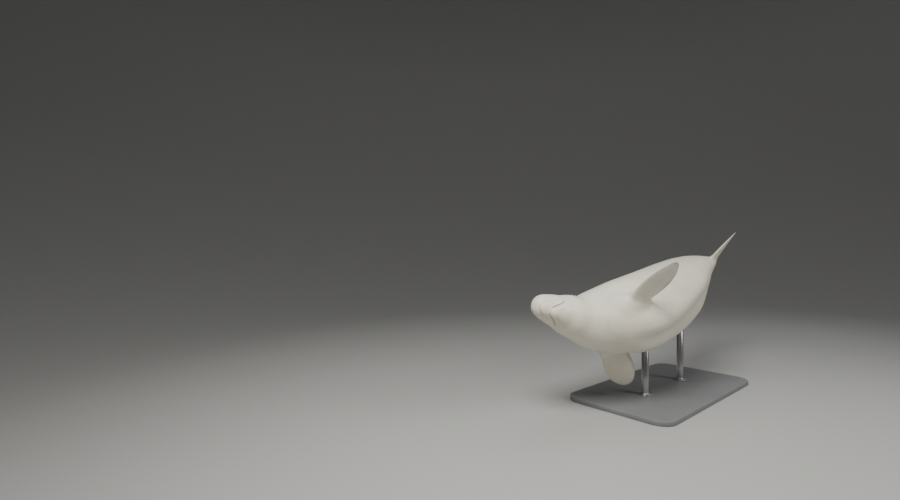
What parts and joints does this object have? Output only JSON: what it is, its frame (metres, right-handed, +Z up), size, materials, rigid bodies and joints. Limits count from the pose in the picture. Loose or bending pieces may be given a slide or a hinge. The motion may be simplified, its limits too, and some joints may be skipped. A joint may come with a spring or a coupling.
{
  "type": "beluga whale museum model",
  "caption": "Life-size beluga whale that banks left side up with an arched back and spread flippers, held by two rods on a flat display base.",
  "frame": {"origin": "middle of the whole model's footprint, on the underside of the display base", "axes": "+Z up; +X the long way of the whole model; the whale's head points towards -X and -Y, its tail towards +X and +Y"},
  "size_m": [3.2338, 2.7244, 1.8984],
  "materials": {
    "skin": "satin ivory white skin with faint grey mottling",
    "eye": "gloss dark brown",
    "base": "satin dark grey",
    "rod": "brushed"
  },
  "bodies": {
    "root": {"head": "skin", "neck": "skin", "torso_front": "skin", "torso_rear": "skin", "tail_stock": "skin", "flipper_left": "skin", "flipper_right": "skin", "fluke_left": "skin", "fluke_right": "skin", "eye_left": "eye", "eye_right": "eye", "stand_base": "base", "stand_rod_front": "rod", "stand_rod_rear": "rod"}
  },
  "joints": []
}
